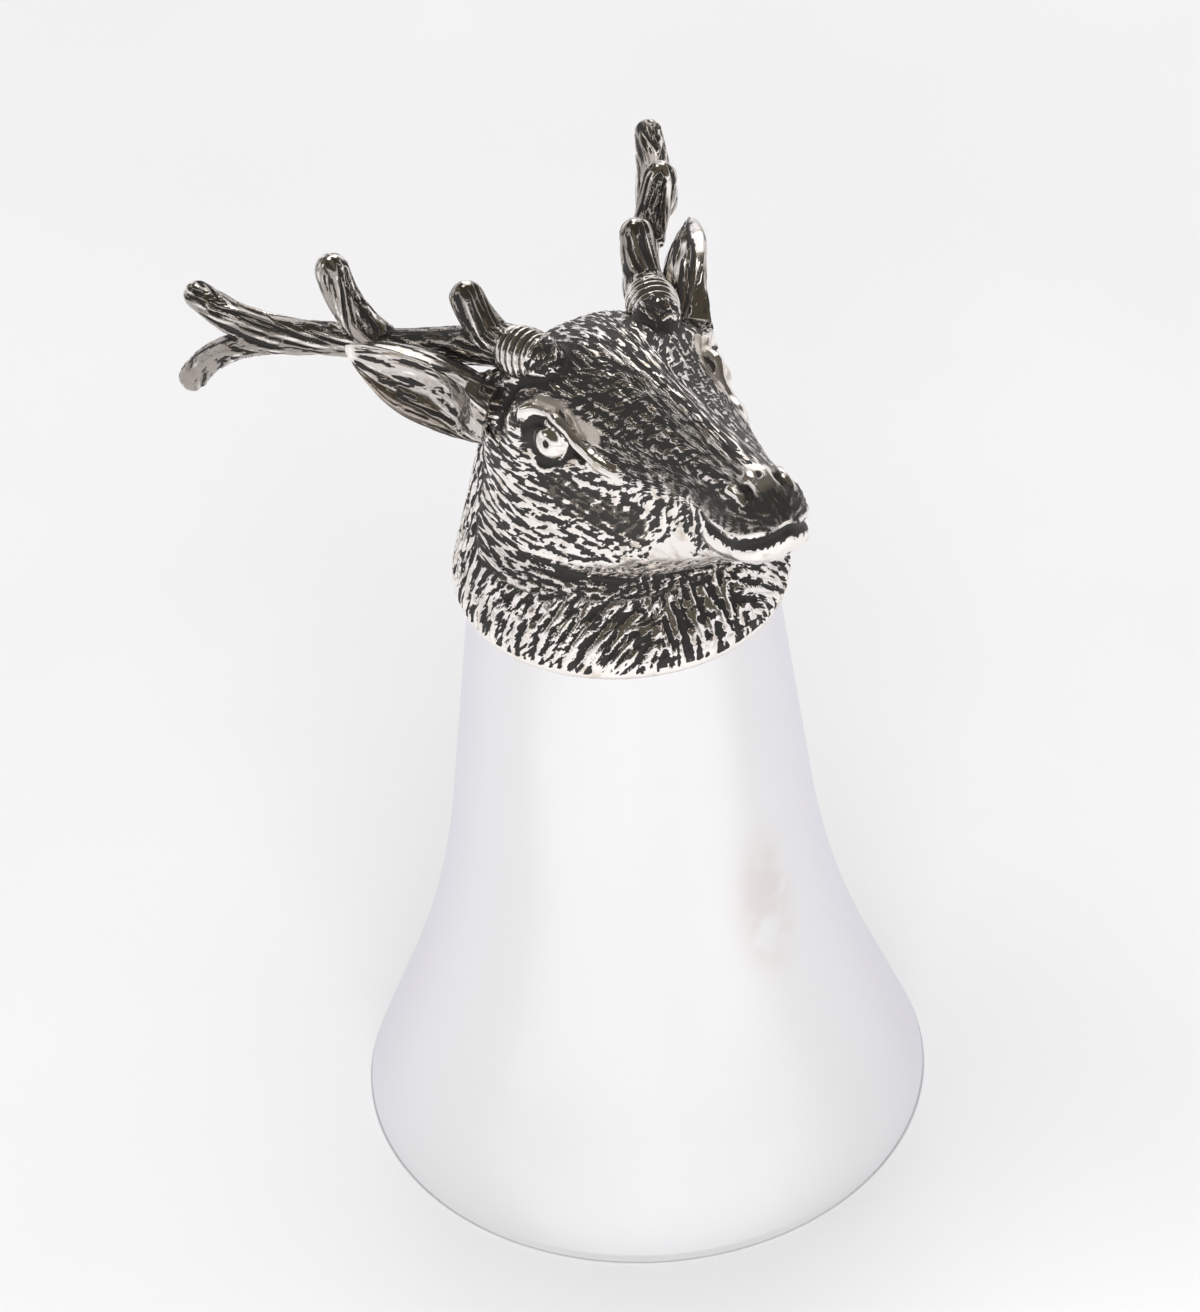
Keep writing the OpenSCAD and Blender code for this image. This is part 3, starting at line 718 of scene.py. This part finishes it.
def bareSkin(lines, onEye, toEye, f, hem):  # 1 where the casting is left smooth
    bare = onEye
    for name, width in faceBare.items():
        bare = np.maximum(bare, near(lines[name], width))
    bare = bare * (1 - smooth(0.285, 0.255, f) * (toEye < 6))  # the lid runs out behind the eye
    for name, (amount, width, power) in faceThin.items():
        bare = np.maximum(bare, amount * near(lines[name], width, power))
    return np.maximum(bare, smooth(1.1, 0.5, hem))


def makeHead():
    piece = cast("stagHead", headShells(), head["voxel"])
    mesh = piece.data
    flattenSeat(mesh)
    relax(mesh, 3)
    co, edges, normal = pointsOf(mesh), edgesOf(mesh), normalsOf(mesh)
    oneSide = np.column_stack([np.abs(co[:, 0]), co[:, 1:]])  # the face's two sides are alike
    f = (co - skull) @ ahead / head["length"]
    face = (1 - smooth(1.06, 1.25, onFace(co))) * smooth(0.0, 0.1, f)
    hem = co[:, 2] - head["ruffZ"]
    toEye = np.linalg.norm(oneSide - eyeAt, axis=1)
    onEye = smooth(head["eyeD"] / 2 + 0.3, head["eyeD"] / 2 + 0.1, toEye)
    pupil = np.linalg.norm(oneSide - (eyeAt + eyeWay * head["eyeD"] / 2), axis=1)
    lines = {name: lineNear(oneSide, drawn(name)) for name in faceLines}
    patch = near(lines["browPatch"], 1.2)
    bare = bareSkin(lines, onEye, toEye, f, hem)

    faceWay, faceLie = hairLie(co)
    maneWay, maneLie = ruffLie(co)
    way = face[:, None] * faceWay + (1 - face[:, None]) * maneWay
    way = unit(way - (way * normal).sum(1, keepdims=True) * normal)
    lie = np.where(face[:, None] > 0.5, faceLie, maneLie)

    # height of the hair: above 0 it is rubbed bright, below 0 it keeps its patina
    coat = strands(co, edges, way, 5, *head["coatStrand"])
    mane = strands(co, edges, way, 9, *head["maneStrand"])
    top = face * smooth(0.15, 0.5, normal @ above)
    low = face * smooth(-0.1, -0.5, normal @ above)
    # painted shade: up-facing face surfaces get more dark pits; painted light: down-facing ones get fewer
    relief = 0.85 * (face * coat + (1 - face) * mane) - face * 0.03 - 0.4 * top + 1.0 * low
    hollow = hollowness(co, edges, normal, 60) * (9 - 3 * face) * (1 - near(lines["browPatch"], 1.6))
    relief -= np.clip(hollow, 0, 1.6)
    relief -= 0.4 * (1 - face) * smooth(6, 10, hem)  # painted shade: the ruff darkens under the jaw
    for name, (amount, width) in faceShade.items():
        relief -= amount * near(lines[name], width, 2)
    relief -= 1.7 * near(toEye, 3.6, 6)
    relief = relief * (1 - bare) + bare * (1.6 - 0.9 * patch)
    for name, width in faceDark.items():
        relief -= 3.4 * near(lines[name], width)
    relief -= 3.4 * near(pupil, 0.42)

    # painted shade around and under the eye and on the eyeball's front, satin on brow and nose, and painted
    # shade on the up-facing crown and the muzzle
    eyeShade = np.maximum(near(lines["tearHollow"], 2.5), near(toEye, 4.2, 6) * (1 - onEye)) * (1 - 0.7 * bare)
    # painted shade on the front half of the eyeball
    front = onEye * smooth(0.2, 1.3, (oneSide - eyeAt) @ ahead)
    satin = np.maximum(near(lines["browPatch"], 1.1), 0.3 * near(lines["nosePad"], 1.2, 2))
    # painted shade on the up-facing crown, away from the midline, and on the muzzle and nose front
    shadeAndTone = np.maximum(0.45 * top * smooth(2.5, 4.5, oneSide[:, 0]),
                       0.9 * near(np.minimum(lines["muzzle"], lines["noseFront"]), 1.7))
    store(mesh, "relief", np.clip(relief, -3, 3))
    store(mesh, "rough", 1 - bare * (1 - 0.45 * patch))
    store(mesh, "paintedShade", 0.9 * np.maximum(eyeShade, front))
    store(mesh, "satin", satin)
    store(mesh, "shadeAndTone", shadeAndTone * (1 - bare))
    store(mesh, "lie", lie)

    depth = face * head["hairDepth"] + (1 - face) * head["ruffDepth"]
    move = carving(lines, pupil, f) - depth * (1 - bare) * smooth(0.6, -0.9, relief)
    setPoints(mesh, co + normal * move[:, None])
    finishPiece(piece, "head_casting", castLook)


makeHead()


# antlers

antler = {"spread": 21.7, "sweep": 39, "drop": 7.6, "beamD": 5.2, "browD": 4.5, "tineD": 4.2, "forkD": 3.0,
          "brow": 7, "middle": 10.5, "leftMiddle": 7.6, "fork": 26.4, "burrD": 6.2, "ribs": 5,
          "leftSet": (2.2, 4.0, -1.4), "voxel": 0.15, "fluteDepth": 0.26, "strand": (0.15, 2.2)}
# along the beam: out, back and up, as shares of spread, sweep and drop
beamPath = [
    [0.00, 0.00, 0.00, 0.00], [0.12, 0.06, 0.10, -0.08], [0.26, 0.18, 0.23, -0.34],
    [0.42, 0.36, 0.39, -0.58], [0.56, 0.55, 0.53, -0.70], [0.72, 0.74, 0.70, -0.97],
    [0.87, 0.90, 0.86, -0.99], [1.00, 1.01, 1.00, -0.80]]
beamGirth = [
    [0.00, 1.00], [0.12, 1.00], [0.30, 0.80], [0.45, 0.62],
    [0.56, 0.68], [0.76, 0.86], [0.90, 0.78], [1.00, 0.66]]


def beamPoint(t):
    size = np.array([antler["spread"], antler["sweep"], antler["drop"]])
    return np.stack([curveAt(beamPath, k + 1, np.asarray(t, float)) for k in range(3)], -1) * size


def tine(root, way, bend, curl, reach, d, taper):  # a limb that bends away as it grows
    s = np.linspace(0, 1, 24)[:, None]
    points = root + reach * (s * unit(way) + s ** curl * np.asarray(bend))
    return limb(points, d / 2 * (1 - taper * s[:, 0]))


def burrShell():  # the ribbed crown at the antler's root
    s = np.linspace(0, 1, 60)
    valley = 0.35 * burrSpan / antler["ribs"] * (1 - np.abs(np.sin(math.pi * antler["ribs"] * s)))
    r = antler["burrD"] / 2 - valley - 0.08 * antler["burrD"] * (2 * s - 1) ** 2
    u = unit(np.cross(burrWay, aside))
    v = np.cross(u, burrWay)
    a = np.linspace(0, 2 * math.pi, 60, endpoint=False)
    ring = np.cos(a)[None, :, None] * u + np.sin(a)[None, :, None] * v
    centre = (s - 0.5)[:, None] * burrSpan * burrWay
    return loft(centre[:, None] + r[:, None, None] * ring)


def turned(angles):
    x, y, z = np.radians(angles)
    return np.array(Matrix.Rotation(z, 3, "Z") @ Matrix.Rotation(y, 3, "Y") @ Matrix.Rotation(x, 3, "X"))


def makeAntler(name, node, middle, setting, mirror, seed):
    t = np.linspace(0.02, 1, 70)
    forkRoot = beamPoint(0.54) - [0, 0, 0.32 * antler["forkD"]]
    limbs = [limb(beamPoint(t), antler["beamD"] / 2 * curveAt(beamGirth, 1, t)),
             tine(beamPoint(0.10), [0.25, 0.93, 0.20], [-0.04, -0.20, 0.38], 2,
                  antler["brow"], antler["browD"], 0.10),
             tine(beamPoint(0.47), [0.50, 0.65, 0.50], [-0.15, -0.35, 0.37], 2,
                  middle, antler["tineD"], 0.05),
             tine(forkRoot, [0.58, 0.80, -0.14], [-0.10, -0.11, -0.25], 3,
                  antler["fork"], antler["forkD"], -0.16)]
    piece = cast(name, [burrShell()] + [one[0] for one in limbs], antler["voxel"])
    mesh = piece.data
    relax(mesh, 3)
    co, edges, normal = pointsOf(mesh), edgesOf(mesh), normalsOf(mesh)
    centres = np.concatenate([one[1] for one in limbs])
    ways = np.concatenate([one[2] for one in limbs])
    runs = np.concatenate([runOf(one[1]) for one in limbs])
    tips = np.concatenate([len(one[1]) * [one[1][-1]] for one in limbs])
    nearest = np.concatenate([np.linalg.norm(part[:, None] - centres[None], axis=2).argmin(1)
                              for part in np.array_split(co, 40)])
    way = ways[nearest]
    gap = co - centres[nearest]
    s = runs[nearest] + (gap * way).sum(1)
    lie = gap - (gap * way).sum(1, keepdims=True) * way + 0.12 * s[:, None] * unit([0.3, 0.5, 0.8])
    way = unit(way - (way * normal).sum(1, keepdims=True) * normal)
    along = co @ burrWay
    onBurr = np.exp(-(along / (burrSpan / 2 + 0.1)) ** 12)
    onBurr *= smooth(4.0, 3.5, np.linalg.norm(co - along[:, None] * burrWay, axis=1))
    ribs = np.abs(np.sin(math.pi * antler["ribs"] * (along / burrSpan + 0.5))) * 3 - 0.8
    flute = strands(co, edges, way, seed, *antler["strand"]) + 0.35
    flute -= np.clip(hollowness(co, edges, normal, 60) * 9, 0, 1.2)
    flute += 1.5 * smooth(2.4, 0.8, np.linalg.norm(co - tips[nearest], axis=1))  # tips are rubbed bright
    relief = flute * (1 - onBurr) + ribs * onBurr
    co = co - normal * (antler["fluteDepth"] * (1 - onBurr) * smooth(0.7, -0.9, relief))[:, None]
    store(mesh, "relief", np.clip(relief, -3, 3))
    store(mesh, "rough", 0.7 * (1 - 0.6 * onBurr))
    # a darker tone on the antler's lands, less on the burr
    store(mesh, "shadeAndTone", 0.85 * (1 - 0.5 * onBurr))
    store(mesh, "lie", lie)
    co = co @ turned(setting).T + burrAt
    if mirror:
        co = co * [-1, 1, 1]
        mesh.flip_normals()
    setPoints(mesh, co)
    finishPiece(piece, node, castLook)


makeAntler("rightAntler", "right_antler", antler["middle"], (0, 0, 0), True, 21)
makeAntler("leftAntler", "left_antler", antler["leftMiddle"], antler["leftSet"], False, 22)


# ears

ear = {"length": 19, "width": 9.6, "wall": 1.1, "edge": 0.4, "hairDepth": 0.14, "strand": (0.2, 1.8)}
# along the ear: width, how far its cup closes, and how full its root is
earForm = [
    [0.00, 0.66, 80, 1.00], [0.10, 0.76, 82, 0.70], [0.22, 0.90, 86, 0.24], [0.45, 1.00, 88, 0.00],
    [0.65, 0.88, 84, 0.00], [0.82, 0.58, 76, 0.00], [0.94, 0.26, 66, 0.00], [1.00, 0.07, 60, 0.00]]
earFace = unit(np.cross(earWay, np.cross([0.72, -0.62, -0.10], earWay)))


def makeEar(name, node, mirror, seed):
    across = np.cross(earWay, earFace)
    rings, rims = [], []
    for t in np.linspace(0, 1, 170):
        w = ear["width"] / 2 * curveAt(earForm, 1, t)
        cup = math.radians(curveAt(earForm, 2, t))
        r = w / math.sin(cup)
        deep = r * (1 - math.cos(cup))
        leaf = min(ear["wall"], 1.2 * w)
        thick = leaf + max(float(curveAt(earForm, 3, t)), 0) * max(deep + w - leaf, 0)
        k = np.sin(np.linspace(-math.pi / 2, math.pi / 2, 72))
        rise = thick * (ear["edge"] + (1 - ear["edge"]) * np.cos(math.pi / 2 * k))
        low = r * (math.cos(cup) - np.cos(cup * k)) + deep / 2
        back = np.outer(r * np.sin(cup * k), across) + np.outer(low, earFace)
        front = (np.outer(r * np.sin(cup * k), across) + np.outer(low + rise, earFace))[::-1]
        rings.append(ear["length"] * t * earWay + np.concatenate([back, front]))
        rims.append(np.abs(np.concatenate([k, k[::-1]])))
    points, faces = loft(rings)
    mesh = bpy.data.meshes.new(name)
    mesh.from_pydata(points.tolist(), [], faces)
    piece = bpy.data.objects.new(name, mesh)
    bpy.context.collection.objects.link(piece)
    mesh.update()
    co, edges, normal = pointsOf(mesh), edgesOf(mesh), normalsOf(mesh)
    rim = np.concatenate([smooth(0.82, 0.97, np.array(rims)).ravel(), [0, 1]])
    along = (co @ earWay) / ear["length"]
    rim = np.maximum(rim, smooth(0.9, 0.97, along)) * smooth(0.3, 0.5, along)  # edges and tip are rubbed
    way = np.repeat(earWay[None], len(co), 0) + 0.35 * np.sign(co @ across)[:, None] * across
    way = unit(way - (way * normal).sum(1, keepdims=True) * normal)
    inside = smooth(-0.2, 0.4, normal @ earFace)
    relief = 0.8 * strands(co, edges, way, seed, *ear["strand"]) + 0.45 - 0.2 * inside
    relief = relief * (1 - rim) + 1.6 * rim
    co = co - normal * (ear["hairDepth"] * (1 - rim) * smooth(0.7, -0.9, relief))[:, None]
    store(mesh, "relief", np.clip(relief, -3, 3))
    store(mesh, "rough", 1 - 0.7 * rim)
    # a darker tone on the ear, away from its rubbed rim and tip
    store(mesh, "shadeAndTone", 0.5 * (1 - rim))
    store(mesh, "lie", np.stack([co @ across, co @ earFace, (co @ earWay) / 6], 1))
    co = co + earAt
    if mirror:
        co = co * [-1, 1, 1]
        mesh.flip_normals()
    setPoints(mesh, co)
    finishPiece(piece, node, castLook)


makeEar("rightEar", "right_ear", True, 31)
makeEar("leftEar", "left_ear", False, 32)


# floor, light and camera

backdrop = {"tone": (0.90, 0.898, 0.918), "shade": 0.97, "size": 6, "mottleScale": 9, "grainScale": 900,
            "roughLow": 0.55, "roughHigh": 0.7, "bump": 0.05, "bumpDepth": 0.2,
            "horizon": (0.92, 0.91, 0.93), "ceiling": (0.090, 0.080, 0.062), "wallTop": 0.26, "roof": 0.46}
softboxes = {  # power, width, height, spread, place, aim, and whether it shows in the metal
    "overhead": (16.5, 1.6, 1.6, 180, (0.0, 0.1, 1.5), (0, 0, 0), False),
    "front": (4.8, 0.8, 0.8, 180, (-0.35, -0.75, 0.75), (0, 0, 0.06), False),
    "pool": (0.052, 0.30, 0.35, 25, (-0.099, -0.208, 0.15), (-0.099, -0.208, 0), False),
    "card": (0.5, 2.5, 0.3, 180, (-0.516, -1.084, 0.10), (0, 0, 0.06), True),
    "window": (1.3, 0.6, 0.6, 180, (0.46, 0.72, 0.66), (0, 0, 0.06), True),
    "behind": (0.38, 0.2, 0.2, 180, (0.05, 0.5, 0.9), (0, 0, 0.06), True),
    "side": (0.2, 0.25, 0.25, 180, (-0.66, 0.28, 0.60), (0, 0, 0.1), True),
}


def makeFloor():
    s = backdrop["size"] / 2
    mesh = bpy.data.meshes.new("floor")
    mesh.from_pydata([(-s, -s, 0), (s, -s, 0), (s, s, 0), (-s, s, 0)], [], [(0, 1, 2, 3)])
    floor = bpy.data.objects.new("floor", mesh)
    bpy.context.collection.objects.link(floor)
    material, tree, shader = newMaterial("paleFloor")
    place = tree.nodes.new("ShaderNodeTexCoord").outputs["Object"]
    mottle = noiseNode(tree, place, backdrop["mottleScale"], 3)
    shade = tuple(backdrop["shade"] * v for v in backdrop["tone"])
    tone = mixColour(tree, rangeNode(tree, mottle, 0.3, 0.7, 0, 1), shade, backdrop["tone"])
    tree.links.new(tone, shader.inputs["Base Color"])
    dull = rangeNode(tree, mottle, 0.3, 0.7, backdrop["roughLow"], backdrop["roughHigh"])
    tree.links.new(dull, shader.inputs["Roughness"])
    shader.inputs["Specular IOR Level"].default_value = 0.2
    grain = noiseNode(tree, place, backdrop["grainScale"], 2)
    addBump(tree, shader, grain, backdrop["bump"], backdrop["bumpDepth"])
    mesh.materials.append(material)


def makeWorld():
    world = bpy.data.worlds.new("studio")
    bpy.context.scene.world = world
    world.use_nodes = True
    tree = world.node_tree
    tree.nodes.clear()
    out = tree.nodes.new("ShaderNodeOutputWorld")
    sky = tree.nodes.new("ShaderNodeBackground")
    split = tree.nodes.new("ShaderNodeSeparateXYZ")
    way = tree.nodes.new("ShaderNodeTexCoord").outputs["Generated"]
    tree.links.new(way, split.inputs["Vector"])
    height = rangeNode(tree, split.outputs["Z"], backdrop["wallTop"], backdrop["roof"], 0, 1)
    tone = mixColour(tree, height, backdrop["horizon"], backdrop["ceiling"])
    tree.links.new(tone, sky.inputs["Color"])
    tree.links.new(sky.outputs["Background"], out.inputs["Surface"])


def makeLights():
    for name, (power, width, height, spread, place, aim, shows) in softboxes.items():
        light = bpy.data.lights.new(name, "AREA")
        light.energy = power
        light.shape = "RECTANGLE"
        light.size, light.size_y = width, height
        light.spread = math.radians(spread)
        box = bpy.data.objects.new(name, light)
        bpy.context.collection.objects.link(box)
        box.visible_glossy = shows
        back = unit(np.array(place) - aim)
        sideways = unit(np.cross([0.01, 0.02, 1], back))
        turn = np.stack([sideways, np.cross(back, sideways), back], 1)
        box.matrix_world = placed(turn, place)


def makeCamera():
    place, axes = viewAxes()
    data = bpy.data.cameras.new("camera")
    data.sensor_fit = "VERTICAL"
    data.sensor_height = view["sensor"]
    data.lens = view["sensor"] * view["focalPixels"] / view["photoPixels"]
    data.clip_start = 0.01
    camera = bpy.data.objects.new("camera", data)
    bpy.context.collection.objects.link(camera)
    camera.matrix_world = placed(axes, place * mm)
    bpy.context.scene.camera = camera


makeFloor()
makeWorld()
makeLights()
makeCamera()
bpy.context.scene.view_settings.view_transform = "Standard"
print("studio ready")
